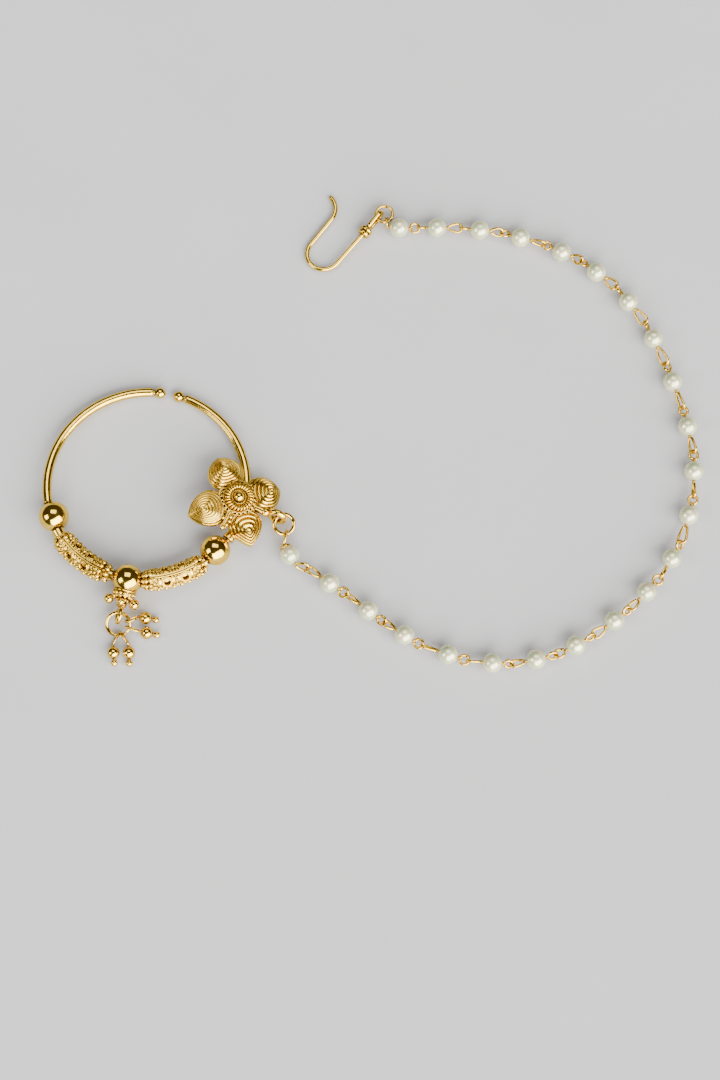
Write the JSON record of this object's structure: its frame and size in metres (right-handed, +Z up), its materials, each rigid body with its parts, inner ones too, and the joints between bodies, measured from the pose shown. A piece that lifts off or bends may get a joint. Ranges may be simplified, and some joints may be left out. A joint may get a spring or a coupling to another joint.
{
  "type": "nath nose ring",
  "caption": "Nose ring: a gold hoop with smooth, pierced and flower beads and hanging drops, joined by a chain of pearls on wire pins to a hair hook.",
  "frame": {"origin": "middle of the underside of the box around the whole part, on the surface it lies on", "axes": "+X from the hoop towards the far bend of the chain, +Y from the drops towards the gap in the hoop, +Z up from the surface"},
  "size_m": [0.133, 0.1016, 0.0075],
  "materials": {
    "gold": "mirror polish, browned in the recesses",
    "chain_wire": "polished pale gold wire",
    "pearl": "soft nacre"
  },
  "bodies": {
    "root": {"ball_bead_centre": "gold", "ball_bead_left": "gold", "ball_bead_right": "gold", "drop_bead_1": "gold", "drop_bead_2": "gold", "drop_bead_3": "gold", "drop_bead_4": "gold", "drop_pin_1": "gold", "drop_pin_2": "gold", "drop_pin_3": "gold", "drop_pin_4": "gold", "drop_ring": "gold", "eye_pins": "chain_wire", "flower": "gold", "flower_jump_ring": "gold", "hair_hook": "gold", "hook_jump_ring": "gold", "hoop_core": "gold", "left_sleeve": "gold", "pearl_01": "pearl", "pearl_02": "pearl", "pearl_03": "pearl", "pearl_04": "pearl", "pearl_05": "pearl", "pearl_06": "pearl", "pearl_07": "pearl", "pearl_08": "pearl", "pearl_09": "pearl", "pearl_10": "pearl", "pearl_11": "pearl", "pearl_12": "pearl", "pearl_13": "pearl", "pearl_14": "pearl", "pearl_15": "pearl", "pearl_16": "pearl", "pearl_17": "pearl", "pearl_18": "pearl", "pearl_19": "pearl", "pearl_20": "pearl", "pearl_21": "pearl", "pearl_22": "pearl", "pearl_23": "pearl", "pierced_bead_left": "gold", "pierced_bead_right": "gold", "right_sleeve": "gold"}
  },
  "joints": []
}
